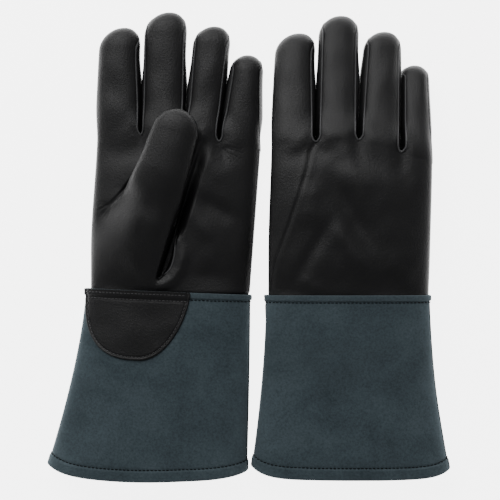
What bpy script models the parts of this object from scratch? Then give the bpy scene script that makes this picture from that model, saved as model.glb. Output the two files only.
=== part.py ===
"""A pair of welding gloves laid flat: black grain-leather hands, flared suede gauntlet cuffs.

Run it with:  blender --background --python part.py

World frame: metres, +Z up, +X across the pair, +Y towards the fingertips, z = 0 on the table.
Each glove is worked out in millimetres in its own frame, whose origin is the middle of its wrist seam,
and `place` turns that into metres in the pair's frame. The left glove lies palm up. The right glove lies
palm down on its folded-in thumb. `side` is the sign of Z on the palm side: +1 left, -1 right.

Section angles run round a tube seen from the cuff: 0 at +X, 90 on the palm side, 180 at the thumb side
(-X) and 270 on the back of the hand, for both gloves.
"""

import math

import bmesh
import bpy
from mathutils import Matrix, Vector

MM = 0.001

# ---- driving dimensions, in millimetres ----
LEATHER = 1.4            # grain leather of the hand
SPLIT = 1.6              # suede split leather of the cuff
LINING = 0.8             # cotton lining
GAP = 0.4                # between pieces that are sewn face to face
LINING_GAP = 1.3         # a lining lies loose in its glove
SEAM_HALF_GAP = 0.3      # half of the gap between two edges sewn together
SEAM_ANGLE = 42.0        # where a fourchette is sewn to a finger's front and back, in degrees
FINGER_POWER = 2.3       # section shape: 2 would be an ellipse
HAND_POWER = 2.7         # the hand and cuff lie flatter
KNUCKLE_GAP = 6.4        # fold allowance on the palm side of a knuckle
KNUCKLE_BACK_GAP = 4.8   # and on its back
WRIST_GAP = 5.0          # between the cuff's top edge and the hand's panels
THREAD_RADIUS = 0.35
WELT_RADIUS = 1.7        # rolled top edge of the cuff
HEM_WIDTH = 10.0         # turned-up hem
HEM_SWELL = 1.4          # the folded hem is thicker than the cuff above it
WRIST_STITCH = 5.2       # stitch row below the cuff's top edge
PATCH_TOP = 7.4          # straight top of the pulse patch below the cuff's top edge

# Points are (x, y). Widths and heights are half sizes. A rise is how far the underside is held off the table,
# and a little under 0 presses it flat.
LEFT = {
    "name": "left", "side": 1, "origin": (-61.0, -35.2),
    "wrist": (-57.6, 61.3), "knuckles": (-54.2, 69.5),
    "crotches": [(-19.4, 120.0), (12.0, 122.0), (38.9, 115.0)],
    "outer_ends": [(-54.2, 118.0), (69.5, 110.0)],
    "fingers": {
        "index": {"tip": (-36.7, 198.6), "base_width": 17.0, "tip_width": 15.6},
        "middle": {"tip": (-1.9, 210.2), "base_width": 15.3, "tip_width": 16.1},
        "ring": {"tip": (33.6, 199.7), "base_width": 13.1, "tip_width": 13.7},
        "little": {"tip": (60.0, 178.0), "base_width": 14.9, "tip_width": 12.0},
    },
    "palm_rise": (-0.3, -0.3, -0.3, -0.3), "finger_rise": (-0.2, -0.2), "cuff_rise": (-0.3, -0.3),
    "cuff_top": (-62.1, 60.3), "cuff_flare": (27.0, -1.6), "flare_power": (1.4, 2.0),
    "hem_depth": (140.0, 12.0), "top_slope": -3.2,
    "thumb_path": [(-31.0, 20.0), (-21.5, 56.0), (-8.0, 94.0), (5.2, 137.4)],
    "thumb_heights": (11.0, 11.0, 10.5, 9.0), "thumb_rises": (26.6, 26.6, 28.0, 30.5),
}
RIGHT = {
    "name": "right", "side": -1, "origin": (72.9, -37.8),
    "wrist": (-59.1, 59.1), "knuckles": (-58.0, 62.1),
    "crotches": [(-24.4, 116.7), (6.7, 118.0), (37.8, 109.1)],
    "outer_ends": [(-58.0, 116.0), (62.1, 105.0)],
    "fingers": {
        "index": {"tip": (-38.9, 196.7), "base_width": 16.4, "tip_width": 14.9},
        "middle": {"tip": (-6.0, 212.8), "base_width": 15.2, "tip_width": 15.2},
        "ring": {"tip": (26.6, 197.8), "base_width": 15.1, "tip_width": 13.8},
        "little": {"tip": (50.3, 172.4), "base_width": 11.8, "tip_width": 11.0},
    },
    "palm_rise": (15.3, 18.6, 18.6, 16.6), "finger_rise": (15.8, 0.5), "cuff_rise": (15.3, -0.3),
    "cuff_top": (-60.7, 60.9), "cuff_flare": (10.3, 15.4), "flare_power": (1.8, 1.5),
    "hem_depth": (137.2, 9.0), "top_slope": 0.0,
    "thumb_path": [(-31.0, 20.0), (-17.0, 50.0), (3.0, 82.0), (22.0, 108.0)],
    "thumb_heights": (7.6, 7.6, 7.4, 7.0), "thumb_rises": (0.6, 0.6, 0.6, 0.6),
}
PALM_STATIONS = (0.0, 32.0, 80.0, 120.0)         # where palm_rise and PALM_HEIGHTS hold
PALM_HEIGHTS = (11.2, 12.6, 12.4, 11.2)
FINGER_HEIGHTS = (10.8, 9.2)                     # at base and tip
CUFF_HEIGHTS = (11.2, 16.4)                      # at wrist and hem
THUMB_WIDTHS = (25.5, 22.6, 18.6, 16.0)
THUMB_STAND_OFF = 1.6                            # the stall's underside over the palm
THUMB_HINGE = 0.30                               # share of the thumb's path where its stall starts
THUMB_FOLD = 0.285                               # and where it folds
CUFF_PIECES = ("cuff_palm_side", "cuff_back_side", "cuff_lining", "hem_facing", "cuff_welt", "hem_thread",
               "wrist_thread", "pulse_patch", "patch_thread")
THUMB_HOLE = {"centre": (-28.0, 41.0), "half": (13.0, 20.0), "tilt": -14.0}
PATCH = (-58.5, 17.0, 52.0)                      # left and right ends, and depth below the cuff's top

FINGERS = ("index", "middle", "ring", "little")
FINGER_ROWS = (0.0, 0.45, 0.8, 1.0, 1.2, 1.38, 1.6, 1.8, 1.96)   # 1 starts the round tip, 2 is its end
STRIP_ROWS = 5                                   # a fourchette spans this many of those rows


# ---- small maths ----
def mix(a, b, t):
    return a + (b - a) * t


def smooth(low, high, x):
    t = min(1.0, max(0.0, (x - low) / (high - low)))
    return t * t * (3 - 2 * t)


def along(stations, values, x):
    """Values joined by smooth steps between stations."""
    if x <= stations[0]:
        return values[0]
    for (s0, s1), (v0, v1) in zip(zip(stations, stations[1:]), zip(values, values[1:])):
        if x <= s1:
            return mix(v0, v1, smooth(s0, s1, x))
    return values[-1]


def on_line(points, x):
    """Height of a broken line at x, held level past its ends."""
    for (x0, y0), (x1, y1) in zip(points, points[1:]):
        if x <= x1:
            return mix(y0, y1, min(1.0, max(0.0, (x - x0) / (x1 - x0))))
    return points[-1][1]


def section(angle, half_width, half_height, power):
    """A point on a superellipse: (across, up), with up towards the palm side."""
    c, s = math.cos(math.radians(angle)), math.sin(math.radians(angle))
    across = half_width * math.copysign(abs(c) ** (2 / power), c)
    up = half_height * math.copysign(abs(s) ** (2 / power), s)
    return across, up


def place(glove, x, y, z):
    """Glove millimetres to pair metres."""
    return Vector((x + glove["origin"][0], y + glove["origin"][1], z)) * MM


# ---- the hand and cuff as tubes ----
# Every surface function takes an inset: how far under the outermost face the point lies.
def hand_point(glove, angle, y, inset=0.0):
    t = y / PALM_STATIONS[-1]
    left = mix(glove["wrist"][0], glove["knuckles"][0], smooth(0.3, 1.0, t))
    right = mix(glove["wrist"][1], glove["knuckles"][1], t)
    half = along(PALM_STATIONS, PALM_HEIGHTS, y)
    across, up = section(angle, (right - left) / 2 - inset, half - inset, HAND_POWER)
    mid = half + along(PALM_STATIONS, glove["palm_rise"], y)
    return (left + right) / 2 + across, mid + up * glove["side"]


def palm_height(glove, x, y):
    """z of the palm face at (x, y)."""
    t = y / PALM_STATIONS[-1]
    left = mix(glove["wrist"][0], glove["knuckles"][0], smooth(0.3, 1.0, t))
    right = mix(glove["wrist"][1], glove["knuckles"][1], t)
    share = min(0.995, abs(x - (left + right) / 2) / ((right - left) / 2))
    half = along(PALM_STATIONS, PALM_HEIGHTS, y)
    up = half * (1 - share ** HAND_POWER) ** (1 / HAND_POWER)
    return half + along(PALM_STATIONS, glove["palm_rise"], y) + up * glove["side"]


def knuckle_line(glove):
    """The line of the finger crotches from the thumb side to the little-finger side."""
    ends = glove["outer_ends"]
    return [ends[0], *glove["crotches"], ends[1]]


def cuff_half_plan(glove, v):
    """(middle x, half width) of the cuff at v."""
    left = glove["cuff_top"][0] - glove["cuff_flare"][0] * v ** glove["flare_power"][0]
    right = glove["cuff_top"][1] + glove["cuff_flare"][1] * v ** glove["flare_power"][1]
    return (left + right) / 2, (right - left) / 2


def v_at(glove, distance):
    """v of a row that far below the cuff's top edge."""
    return distance / glove["hem_depth"][0]


def cuff_point(glove, angle, v, inset=0.0):
    """v is 0 at the wrist and 1 at the hem."""
    centre, half_width = cuff_half_plan(glove, v)
    half = mix(*CUFF_HEIGHTS, v ** 1.3)
    swell = HEM_SWELL * smooth(1.008 - v_at(glove, HEM_WIDTH), 1.0, v) - inset
    across, up = section(angle, half_width + swell, half + swell, HAND_POWER)
    share = across / half_width
    depth, rise = glove["hem_depth"]
    y = mix(glove["top_slope"] * share, -(depth - rise * share * share), v)
    mid = half + mix(*glove["cuff_rise"], smooth(0.0, 0.65, v))
    return place(glove, centre + across, y, mid + up * glove["side"])


# ---- fingers and thumb ----
def finger_frame(glove, finger):
    """(base, direction, across, palm-side normal, length, skew) of a finger, in glove millimetres."""
    line = knuckle_line(glove)
    i = FINGERS.index(finger)
    (x0, y0), (x1, y1) = line[i], line[i + 1]
    tip = glove["fingers"][finger]["tip"]
    base_z, tip_z = (h + rise for h, rise in zip(FINGER_HEIGHTS, glove["finger_rise"]))
    base = Vector(((x0 + x1) / 2, (y0 + y1) / 2 + KNUCKLE_GAP, base_z))
    end = Vector((tip[0], tip[1], tip_z))
    direction = (end - base).normalized()
    across = Vector((direction.y, -direction.x, 0)).normalized()
    normal = across.cross(direction) * glove["side"]
    return base, direction, across, normal, (end - base).length, (y1 - y0) / (x1 - x0)


def finger_point(glove, finger, angle, row, inset=0.0, clear=0.0):
    """row is 0 at the knuckle, 1 where the round tip starts, 2 at its end. clear is the least height off the
    finger's side seam."""
    size = glove["fingers"][finger]
    base, direction, across, normal, length, skew = finger_frame(glove, finger)
    tip = size["tip_width"]
    shaft = min(row, 1.0)
    round_tip = max(0.0, row - 1) * math.pi / 2
    scale = math.cos(round_tip)
    half_width = (mix(size["base_width"], tip, shaft) - inset) * scale
    half_height = (mix(*FINGER_HEIGHTS, shaft) - inset) * scale
    x, up = section(angle, half_width, half_height, FINGER_POWER)
    up = math.copysign(max(abs(up), clear), up)
    reach = (length - tip) * shaft + (tip - inset) * math.sin(round_tip) + skew * x * (1 - shaft)
    return place(glove, *(base + direction * reach + across * x + normal * up))


def seam_angle(row):
    """A fourchette narrows to a point on the shoulder of the fingertip."""
    return mix(SEAM_ANGLE, 0.0, smooth(0.75, 1.5, row))


def curve_at(points, t):
    """Catmull-Rom curve through the points, t from 0 to 1."""
    spans = len(points) - 1
    i = min(int(t * spans), spans - 1)
    f = t * spans - i
    p = [Vector(points[min(max(k, 0), spans)]) for k in (i - 1, i, i + 1, i + 2)]
    return 0.5 * (
        2 * p[1]
        + (p[2] - p[0]) * f
        + (2 * p[0] - 5 * p[1] + 4 * p[2] - p[3]) * f * f
        + (3 * p[1] - p[0] - 3 * p[2] + p[3]) * f ** 3
    )


def thumb_point(glove, angle, t, inset=0.0, clear=0.0):
    """Angle 90 is the side away from the palm; t is 1 at the tip."""
    path = glove["thumb_path"]
    total = sum((Vector(b) - Vector(a)).length for a, b in zip(path, path[1:]))
    cap = 1 - THUMB_WIDTHS[-1] / total
    round_tip = max(0.0, (t - cap) / (1 - cap)) * math.pi / 2
    scale = math.cos(round_tip)
    reach = t if t <= cap else cap + (1 - cap - inset / total) * math.sin(round_tip)
    ahead = curve_at(path, min(1.0, reach + 0.01))
    behind = curve_at(path, max(0.0, reach - 0.01))
    direction = (ahead - behind).normalized()
    shares = [k / 3 for k in range(4)]
    full = along(shares, glove["thumb_heights"], reach)
    width = (along(shares, THUMB_WIDTHS, min(t, cap)) - inset) * scale
    across, up = section(angle, width, (full - inset) * scale, FINGER_POWER)
    up = math.copysign(max(abs(up), clear), up)
    here = curve_at(path, reach)
    mid = full + along(shares, glove["thumb_rises"], reach)
    return place(glove, here.x + direction.y * across, here.y - direction.x * across, mid + up * glove["side"])


# ---- building pieces ----
def solid_object(name, bm, material, collection):
    """Turns closed bmesh geometry into an object whose faces look outwards."""
    bm.normal_update()
    bmesh.ops.recalc_face_normals(bm, faces=bm.faces)
    if bm.calc_volume(signed=True) < 0:
        bmesh.ops.reverse_faces(bm, faces=bm.faces)
    mesh = bpy.data.meshes.new(name)
    bm.to_mesh(mesh)
    bm.free()
    mesh.shade_smooth()
    mesh.set_sharp_from_angle(angle=math.radians(50))
    mesh.materials.append(material)
    obj = bpy.data.objects.new(name, mesh)
    collection.objects.link(obj)
    return obj


def shell(name, columns, rows, point, thickness, material, collection, inset=0.0, tube=False):
    """A piece of sheet laid on a curved surface: point(u, v, inset) gives both of its faces.

    A tube's last column is its first. Nothing reaches under the table."""
    bm = bmesh.new()
    across = columns if tube else columns + 1
    layers = []
    for depth in (inset, inset + thickness):
        layer = []
        for r in range(rows + 1):
            corners = [point(c / columns, r / rows, depth) for c in range(across)]
            row = [bm.verts.new((p.x, p.y, max(p.z, depth * MM))) for p in corners]
            layer.append(row)
        layers.append(layer)
    outer, inner = layers
    for r in range(rows):
        for c in range(columns):
            d = (c + 1) % across
            bm.faces.new((outer[r][c], outer[r][d], outer[r + 1][d], outer[r + 1][c]))
            bm.faces.new((inner[r][c], inner[r + 1][c], inner[r + 1][d], inner[r][d]))
    for r in (0, rows):
        for c in range(columns):
            d = (c + 1) % across
            bm.faces.new((outer[r][c], outer[r][d], inner[r][d], inner[r][c]))
    if not tube:
        for c in (0, columns):
            for r in range(rows):
                bm.faces.new((outer[r][c], outer[r + 1][c], inner[r + 1][c], inner[r][c]))
    return solid_object(name, bm, material, collection)


def cord(name, points, radius, material, collection, closed=False):
    """A thin round rod through the points: a row of thread, or a rolled edge."""
    curve = bpy.data.curves.new(name, "CURVE")
    curve.dimensions = "3D"
    curve.bevel_depth = radius * MM
    curve.bevel_resolution = 2
    curve.use_fill_caps = True
    spline = curve.splines.new("POLY")
    spline.points.add(len(points) - 1)
    for corner, p in zip(spline.points, points):
        corner.co = (p.x, p.y, max(p.z, radius * MM), 1)
    spline.use_cyclic_u = closed
    curve.materials.append(material)
    obj = bpy.data.objects.new(name, curve)
    collection.objects.link(obj)
    return obj


def hang(name, location, pieces, collection):
    """Parents a joint's moving pieces, named in a list, to an empty on the joint's axis."""
    pivot = bpy.data.objects.new(name, None)
    pivot.location = location
    collection.objects.link(pivot)
    for piece in pieces:
        obj = collection.objects[piece]
        obj.parent = pivot
        obj.matrix_parent_inverse = Matrix.Translation(location).inverted()


def material(name, colour, roughness):
    made = bpy.data.materials.new(name)
    made.use_nodes = True
    shader = made.node_tree.nodes["Principled BSDF"]
    shader.inputs["Base Color"].default_value = (*colour, 1)
    shader.inputs["Roughness"].default_value = roughness
    return made


# ---- hand ----
def hand_surface(glove, angle, v, inset, start=WRIST_GAP):
    """v is 0 at the wrist and 1 at the knuckles, where the palm side stops short of the back."""
    x, _ = hand_point(glove, angle, 60.0)
    share = (x - glove["wrist"][0]) / (glove["wrist"][1] - glove["wrist"][0]) * 2 - 1
    palm_share = smooth(-0.3, 0.3, math.sin(math.radians(angle)))
    end = on_line(knuckle_line(glove), x) + (KNUCKLE_GAP - KNUCKLE_BACK_GAP) * (1 - palm_share)
    y = mix(glove["top_slope"] * share + start, end, v)
    x, z = hand_point(glove, angle, y, inset)
    return place(glove, x, y, z)


def back_seam_angle(glove, v):
    """The seam on the back of the hand, from the thumb side of the wrist to the first crotch."""
    left, _ = hand_point(glove, 180.0, 60.0)
    right, _ = hand_point(glove, 0.0, 60.0)
    centre, half = (left + right) / 2, (right - left) / 2
    seam_x = mix(left, glove["crotches"][0][0], 0.04 + 0.96 * v)
    share = min(1.0, (centre - seam_x) / half)
    return 180.0 + math.degrees(math.acos(share ** (HAND_POWER / 2)))


def make_hand(glove, mats, collection, cutters):
    prefix = glove["name"]
    edge = 2.2
    seam = 0.5

    def palm(u, v, inset):
        return hand_surface(glove, mix(edge, back_seam_angle(glove, v) - seam, u), v, inset)

    def back(u, v, inset):
        return hand_surface(glove, mix(back_seam_angle(glove, v) + seam, 360 - edge, u), v, inset)

    def lining(u, v, inset):
        return hand_surface(glove, 360 * u, v * 0.9, inset)

    leather = mats["leather"]
    palm_piece = shell(f"{prefix}_palm_leather", 16, 6, palm, LEATHER, leather, collection)
    shell(f"{prefix}_back_leather", 10, 6, back, LEATHER, leather, collection)
    lining_piece = shell(f"{prefix}_hand_lining", 20, 6, lining, LINING, mats["lining"], collection,
                         inset=LEATHER + LINING_GAP, tube=True)
    cutter = thumb_hole_cutter(glove, cutters)
    for piece in (palm_piece, lining_piece):
        cut = piece.modifiers.new("thumb_hole", "BOOLEAN")
        cut.operation = "DIFFERENCE"
        cut.object = cutter


def thumb_hole_cutter(glove, cutters):
    """An oval prism through the palm side of the hand only."""
    hole = THUMB_HOLE
    bm = bmesh.new()
    bmesh.ops.create_cone(bm, segments=20, radius1=1, radius2=1, depth=1, cap_ends=True)
    tilt = math.radians(hole["tilt"])
    x0, y0 = hole["centre"]
    mid = along(PALM_STATIONS, PALM_HEIGHTS, y0) + along(PALM_STATIONS, glove["palm_rise"], y0)
    for vert in bm.verts:
        a, b = vert.co.x * hole["half"][0], vert.co.y * hole["half"][1]
        x = x0 + a * math.cos(tilt) - b * math.sin(tilt)
        y = y0 + a * math.sin(tilt) + b * math.cos(tilt)
        vert.co = place(glove, x, y, mid + glove["side"] * (2.0 + (vert.co.z + 0.5) * 30))
    bm.normal_update()
    bmesh.ops.recalc_face_normals(bm, faces=bm.faces)
    mesh = bpy.data.meshes.new("thumb_hole_cutter")
    bm.to_mesh(mesh)
    bm.free()
    cutter = bpy.data.objects.new(f"{glove['name']}_thumb_hole_cutter", mesh)
    cutter.hide_render = True
    cutter.display_type = "WIRE"
    cutters.objects.link(cutter)
    return cutter


# ---- the joints' axes ----
def knuckle_pivot(glove, finger):
    """A little behind the finger's base, towards its palm side."""
    base = finger_frame(glove, finger)[0]
    return place(glove, base.x, base.y - 0.6, base.z + 5.0 * glove["side"])


def thumb_pivot(glove):
    """On the outer face of the fold between the thumb's root and its stall."""
    here = curve_at(glove["thumb_path"], THUMB_FOLD)
    shares = [k / 3 for k in range(4)]
    half_height = along(shares, glove["thumb_heights"], THUMB_FOLD)
    middle = half_height + along(shares, glove["thumb_rises"], THUMB_FOLD)
    return place(glove, here.x, here.y, middle + (half_height - 1.0) * glove["side"])


def wrist_pivot(glove):
    centre = (glove["cuff_top"][0] + glove["cuff_top"][1]) / 2
    return place(glove, centre, 2.4, CUFF_HEIGHTS[0] + glove["cuff_rise"][0])


# ---- fingers ----
def make_finger(glove, finger, mats, collection):
    """Leather front and back, and a fourchette on each side that faces another finger."""
    prefix = f"{glove['name']}_{finger}"
    seam = 1.3
    rows = len(FINGER_ROWS) - 1

    def panel(name, start, stop, columns):
        def point(u, v, inset):
            row = FINGER_ROWS[round(v * rows)]
            clear = SEAM_HALF_GAP if u in (0, 1) else 0.0
            return finger_point(glove, finger, mix(start(row), stop(row), u), row, inset, clear)
        shell(f"{prefix}_{name}", columns, rows, point, LEATHER, mats["leather"], collection)

    def fourchette(name, centre):
        def point(u, v, inset):
            row = FINGER_ROWS[round(v * STRIP_ROWS)]
            half = seam_angle(row) - seam
            return finger_point(glove, finger, centre + mix(-half, half, u), row, inset)
        shell(f"{prefix}_{name}", 3, STRIP_ROWS, point, LEATHER, mats["leather"], collection)

    def seam_side(row):
        return seam_angle(row) + seam

    def plain_side(row):
        return seam

    if finger == "index":
        panel("leather", seam_side, lambda row: 360 - seam_side(row), 12)
        fourchette("fourchette", 0)
    elif finger == "little":
        panel("front", plain_side, lambda row: 180 - seam_side(row), 6)
        panel("back", lambda row: 180 + seam_side(row), lambda row: 360 - seam, 6)
        fourchette("fourchette", 180)
    else:
        panel("front", seam_side, lambda row: 180 - seam_side(row), 6)
        panel("back", lambda row: 180 + seam_side(row), lambda row: 360 - seam_side(row), 6)
        fourchette("fourchette_thumb_side", 180)
        fourchette("fourchette_little_side", 0)
    pieces = [obj.name for obj in collection.objects if obj.name.startswith(f"{prefix}_")]
    hang(f"{prefix}_knuckle", knuckle_pivot(glove, finger), pieces, collection)


def make_thumb(glove, mats, collection):
    """The thumb's root is sewn round the hole in the palm, and its stall hinges on it."""
    prefix = glove["name"]
    cap = 0.90

    def half_stall(start, first):
        def point(u, v, inset):
            t = mix(first, cap, v / 0.5) if v < 0.5 else mix(cap, 0.99, (v - 0.5) / 0.5)
            clear = SEAM_HALF_GAP if u in (0, 1) else 0.0
            return thumb_point(glove, start + mix(1.0, 179.0, u), t, inset, clear)
        return point

    def root(u, v, inset):
        """A half dome that stands on the palm and swells to the stall's height."""
        t = mix(0.0, THUMB_HINGE - 0.034, v)
        top = 2 * glove["thumb_heights"][0] + THUMB_STAND_OFF
        half_height = mix(6.0, top, smooth(-0.08, 0.26, t))
        across, up = section(180 * u, along((0, 1 / 3), THUMB_WIDTHS, t) - inset, half_height - inset, FINGER_POWER)
        here = curve_at(glove["thumb_path"], t)
        direction = (curve_at(glove["thumb_path"], t + 0.02) - here).normalized()
        x, y = here.x + direction.y * across, here.y - direction.x * across
        return place(glove, x, y, palm_height(glove, x, y) + (GAP + abs(up)) * glove["side"])

    leather = mats["leather"]
    shell(f"{prefix}_thumb_front", 8, 8, half_stall(0.0, THUMB_HINGE + 0.004), LEATHER, leather, collection)
    shell(f"{prefix}_thumb_back", 8, 8, half_stall(180.0, THUMB_HINGE + 0.075), LEATHER, leather, collection)
    shell(f"{prefix}_thumb_root", 8, 4, root, LEATHER, leather, collection)
    stall = [f"{prefix}_thumb_front", f"{prefix}_thumb_back"]
    hang(f"{prefix}_thumb_fold", thumb_pivot(glove), stall, collection)


# ---- cuff ----
def make_cuff(glove, mats, collection):
    prefix = glove["name"]
    edge = 2.0
    inner = SPLIT + 0.5
    stitch = 1 - v_at(glove, HEM_WIDTH)
    rows = 8
    plain_share = 6 / rows
    suede = mats["suede"]

    def half(start):
        def point(u, v, inset):
            down = mix(0.028, stitch, v / plain_share)
            if v > plain_share:
                down = mix(stitch, 1.0, (v - plain_share) / (1 - plain_share))
            return cuff_point(glove, start + mix(edge, 180 - edge, u), down, inset)
        return point

    def facing(u, v, inset):
        return cuff_point(glove, 360 * u, mix(stitch, 0.995, v), inset)

    def lining(u, v, inset):
        return cuff_point(glove, 360 * u, mix(0.03, stitch - 0.01, v), inset)

    shell(f"{prefix}_cuff_palm_side", 12, rows, half(0.0), SPLIT, suede, collection)
    shell(f"{prefix}_cuff_back_side", 12, rows, half(180.0), SPLIT, suede, collection)
    shell(f"{prefix}_cuff_lining", 24, 6, lining, LINING, mats["lining"], collection,
          inset=SPLIT + LINING_GAP, tube=True)
    shell(f"{prefix}_hem_facing", 24, 2, facing, SPLIT * 0.6, suede, collection, inset=inner, tube=True)
    turns = 36
    cord(f"{prefix}_cuff_welt",
         [cuff_point(glove, 360 * (k + 0.5) / turns, 0.012, 0.5) for k in range(turns)],
         WELT_RADIUS, suede, collection, closed=True)
    # The rows are pressed into the suede where the glove lies flat on the table, so they stop short of it.
    upper = [mix(edge, 180 - edge, k / 24) for k in range(25)]
    arc = [a - 180 for a in upper[19:]] + upper + [a + 180 for a in upper[:6]]
    facing_up = 90 * (1 - glove["side"])
    for name, v in {"hem_thread": stitch, "wrist_thread": v_at(glove, WRIST_STITCH)}.items():
        points = [cuff_point(glove, a + facing_up, v, -THREAD_RADIUS - GAP) for a in arc]
        cord(f"{prefix}_{name}", points, THREAD_RADIUS, mats["thread"], collection)
    make_patch(glove, mats, collection)
    pieces = [f"{prefix}_{name}" for name in CUFF_PIECES]
    hang(f"{prefix}_wrist_fold", wrist_pivot(glove), pieces, collection)


def patch_point(glove, x_share, y_share, inset):
    """A point on the half-round patch on the palm side of the cuff. y_share is 0 at its straight top."""
    left, right, depth = PATCH
    v = v_at(glove, mix(PATCH_TOP, depth, y_share))
    centre, half_width = cuff_half_plan(glove, v)
    share = (mix(left, right, (x_share + 1) / 2) - centre) / half_width
    angle = math.degrees(math.acos(math.copysign(abs(share) ** (HAND_POWER / 2), share)))
    return cuff_point(glove, angle, v, inset)


def make_patch(glove, mats, collection):
    """Half-round grain-leather patch over the pulse, with its thread."""
    prefix = glove["name"]
    stand_off = 0.9

    def point(u, v, inset):
        chord = math.sqrt(1 - (v * 0.985) ** 2)
        return patch_point(glove, mix(-chord, chord, u), v, inset)

    shell(f"{prefix}_pulse_patch", 10, 7, point, LEATHER, mats["leather"], collection,
          inset=-stand_off - LEATHER)
    under = -stand_off - LEATHER - GAP - THREAD_RADIUS
    arc = [math.pi * k / 16 for k in range(17)]
    row = [patch_point(glove, 0.92 * math.cos(a), 0.06 + 0.86 * math.sin(a), under) for a in arc]
    row += [patch_point(glove, 0.92 * mix(-1, 1, k / 8), 0.06, under) for k in range(1, 8)]
    cord(f"{prefix}_patch_thread", row, THREAD_RADIUS, mats["thread"], collection, closed=True)


# ---- the pair ----
def clear_scene():
    for obj in list(bpy.data.objects):
        bpy.data.objects.remove(obj)


def make_pair():
    clear_scene()
    pair = bpy.data.collections.new("welding_gloves")
    cutters = bpy.data.collections.new("cutters")
    bpy.context.scene.collection.children.link(pair)
    bpy.context.scene.collection.children.link(cutters)
    mats = {
        "leather": material("black_grain_leather", (0.012, 0.012, 0.013), 0.45),
        "suede": material("slate_suede", (0.042, 0.066, 0.078), 0.9),
        "lining": material("cotton_lining", (0.55, 0.53, 0.48), 0.95),
        "thread": material("black_thread", (0.01, 0.01, 0.012), 0.7),
    }
    for glove in (LEFT, RIGHT):
        make_hand(glove, mats, pair, cutters)
        for finger in FINGERS:
            make_finger(glove, finger, mats, pair)
        make_thumb(glove, mats, pair)
        make_cuff(glove, mats, pair)


make_pair()
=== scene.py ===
import math

import bpy
import numpy as np
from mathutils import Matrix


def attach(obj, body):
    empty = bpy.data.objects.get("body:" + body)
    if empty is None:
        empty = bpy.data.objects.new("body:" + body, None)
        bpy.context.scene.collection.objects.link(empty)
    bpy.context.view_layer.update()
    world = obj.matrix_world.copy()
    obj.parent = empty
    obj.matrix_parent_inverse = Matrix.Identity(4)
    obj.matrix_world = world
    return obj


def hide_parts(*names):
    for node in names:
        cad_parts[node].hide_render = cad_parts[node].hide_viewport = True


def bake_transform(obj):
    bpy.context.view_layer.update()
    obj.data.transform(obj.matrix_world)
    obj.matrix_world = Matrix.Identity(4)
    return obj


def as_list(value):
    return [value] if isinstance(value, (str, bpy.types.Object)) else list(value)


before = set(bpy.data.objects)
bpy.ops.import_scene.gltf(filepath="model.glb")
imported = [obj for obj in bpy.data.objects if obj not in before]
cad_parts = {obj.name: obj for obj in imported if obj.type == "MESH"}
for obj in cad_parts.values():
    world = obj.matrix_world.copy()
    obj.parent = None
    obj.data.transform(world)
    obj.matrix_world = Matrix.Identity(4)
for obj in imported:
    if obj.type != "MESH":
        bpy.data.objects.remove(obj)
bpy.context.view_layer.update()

# A pair of welding gloves seen from above: the left one palm up with its thumb folded over the palm, the
# right one palm down. Each glove is worked out in millimetres in its own frame, whose origin is the middle
# of its wrist seam, and put in the pair's frame at the end. "Top" is the side that faces up. Sizes called
# "flat" are in metres: a piece's leather or cloth as it was cut out.

MM = 0.001
LEFT = {
    "name": "left", "origin": (-61.0, -35.2),
    "wrist": (-57.6, 61.3), "knuckles": (-52.8, 70.2),
    "crotches": [(-54.2, 114.6), (-19.4, 117.6), (12.6, 119.6), (38.9, 112.6), (70.2, 105.6)],
    "tips": [(-36.7, 198.6), (-1.9, 210.2), (33.6, 199.7), (60.0, 178.0)],
    "base_widths": (17.3, 15.9, 13.1, 15.2), "tip_widths": (15.4, 15.9, 13.9, 12.2),
    "gaps_open": (148.0, 148.0, 152.0),
    "seam_insets": ((0.0, 2.8), (1.5, 2.0), (2.2, 2.6), (2.2, 2.4)), "tip_leans": (4.0, 3.4, 2.6, 0.6),
    "rise": (-0.2, -0.2, -0.2, -0.2), "finger_rise": (-0.2, -0.2),
    "cuff_top": (-61.2, 61.7), "cuff_flare": (27.8, -2.4), "flare_power": (1.45, 1.6),
    "cuff_rise": (-0.2, -0.2), "top_edge": (1.0, -2.5),
    "hem_depth": 139.4, "hem_corners": (12.2, 7.0), "hem_roundness": 0.55, "wall_sway": -0.7,
    "cuff_flat": (0.326, 0.151), "lining_flat": (0.307, 0.132),
}
RIGHT = {
    "name": "right", "origin": (72.9, -37.8),
    "wrist": (-59.1, 59.1), "knuckles": (-56.6, 62.1),
    "crotches": [(-57.2, 111.0), (-24.4, 113.7), (6.7, 115.0), (37.8, 106.1), (62.1, 98.0)],
    "tips": [(-38.9, 196.7), (-6.0, 209.8), (26.6, 197.8), (50.3, 172.4)],
    "base_widths": (16.3, 15.45, 15.4, 12.2), "tip_widths": (14.9, 15.0, 13.9, 11.2),
    "gaps_open": (150.0, 156.0, 170.0),
    "seam_insets": ((0.0, 3.0), (3.3, 2.4), (3.6, 1.9), (4.0, 1.6)), "tip_leans": (4.0, 2.3, 2.4, 0.4),
    "rise": (15.0, 17.0, 18.0, 16.4), "finger_rise": (15.8, 0.6),
    "cuff_top": (-60.7, 59.9), "cuff_flare": (10.6, 16.0), "flare_power": (1.8, 1.5),
    "cuff_rise": (15.0, -0.2), "top_edge": (1.4, 0.0),
    "hem_depth": 135.4, "hem_corners": (8.8, 7.0), "hem_roundness": 0.15, "wall_sway": 0.5,
    "cuff_flat": (0.324, 0.148), "lining_flat": (0.303, 0.129),
}
FINGERS = ("index", "middle", "ring", "little")
STATIONS = (0.0, 32.0, 80.0, 120.0)
PALM_HEIGHTS = (12.0, 12.4, 12.4, 11.6)
FINGER_HEIGHTS = (10.8, 9.0)
CUFF_HEIGHTS = (12.2, 16.4)
HAND_POWER = 2.6
FINGER_POWER = 2.25
TIP_POWER = 2.1
TIP_LENGTH = 1.12            # of a round tip, as a share of the finger's half width
CROTCH_PULL = 2.0
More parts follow.
